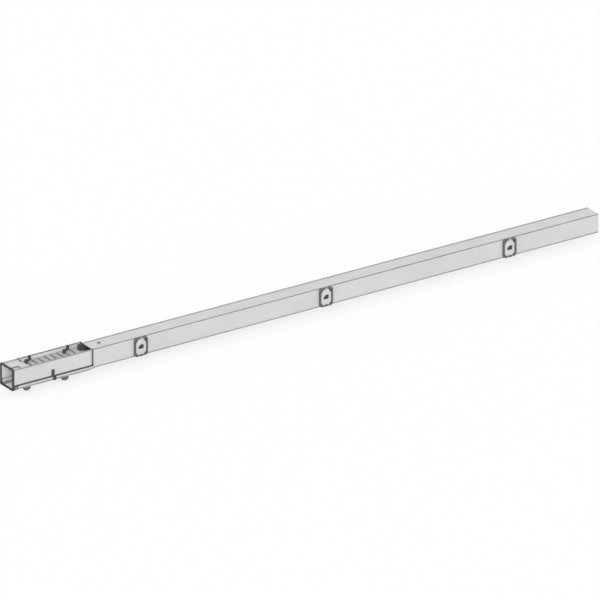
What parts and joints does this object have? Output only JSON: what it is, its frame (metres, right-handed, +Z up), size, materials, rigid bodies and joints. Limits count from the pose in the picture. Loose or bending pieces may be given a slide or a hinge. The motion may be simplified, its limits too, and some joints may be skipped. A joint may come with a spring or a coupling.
{
  "type": "busway section",
  "caption": "Straight length of square plug-in busbar trunking with a clamped jointing unit at one end and hinged tap-off outlets along its front.",
  "frame": {"origin": "on the casing's underside, below the middle outlet, halfway across the casing", "axes": "+X along the casing from the jointing unit to the plain end, -Y out of the outlets, +Z up"},
  "size_m": [3.18, 0.111, 0.1635],
  "materials": {
    "casing": "satin powder coat",
    "joint_sheet": "satin powder coat",
    "bars": "drawn, bare",
    "contacts": "silver plated",
    "supports": "fine texture",
    "seal": "matt",
    "deck": "moulded, fine texture",
    "block": "moulded, fine texture",
    "outlet": "fine texture",
    "flap": "fine texture",
    "latch": "fine texture",
    "pin": "bright",
    "clamp": "dark grey coat",
    "bolt": "zinc plated",
    "side_latch": "dark grey coat"
  },
  "bodies": {
    "trunking": {"casing_cover": "casing", "casing_base": "casing", "busbar_1": "bars", "joint_contact_1": "contacts", "bar_support_1": "supports", "busbar_2": "bars", "joint_contact_2": "contacts", "bar_support_2": "supports", "busbar_3": "bars", "joint_contact_3": "contacts", "bar_support_3": "supports", "busbar_4": "bars", "joint_contact_4": "contacts", "bar_support_4": "supports", "outlet_frame_1": "outlet", "outlet_pin_1": "pin", "outlet_frame_2": "outlet", "outlet_pin_2": "pin", "outlet_frame_3": "outlet", "outlet_pin_3": "pin", "side_plate_front": "joint_sheet", "side_plate_back": "joint_sheet", "bottom_cover": "joint_sheet", "bridge_plate": "joint_sheet", "mouth_seal": "seal", "end_seal_front": "seal", "end_seal_back": "seal", "trim_front": "seal", "trim_back": "seal", "joint_block": "block", "joint_deck": "deck", "clamp_bolt_left": "bolt", "clamp_lever_left": "clamp", "clamp_knob_left": "clamp", "clamp_bolt_right": "bolt", "clamp_lever_right": "clamp", "clamp_knob_right": "clamp", "side_latch_front": "side_latch", "side_latch_back": "side_latch", "cover_screw": "bolt"},
    "flap_1": {"outlet_flap_1": "flap", "outlet_latch_1": "latch"},
    "flap_2": {"outlet_flap_2": "flap", "outlet_latch_2": "latch"},
    "flap_3": {"outlet_flap_3": "flap", "outlet_latch_3": "latch"}
  },
  "joints": [
    {"name": "flap_1_hinge", "type": "hinge", "parent": "trunking", "child": "flap_1", "pos_m": [-1, -0.05, 0.082], "axis": [-1, 0, 0], "range_deg": [0, 90]},
    {"name": "flap_2_hinge", "type": "hinge", "parent": "trunking", "child": "flap_2", "pos_m": [0, -0.05, 0.082], "axis": [-1, 0, 0], "range_deg": [0, 90]},
    {"name": "flap_3_hinge", "type": "hinge", "parent": "trunking", "child": "flap_3", "pos_m": [1, -0.05, 0.082], "axis": [-1, 0, 0], "range_deg": [0, 90]}
  ]
}
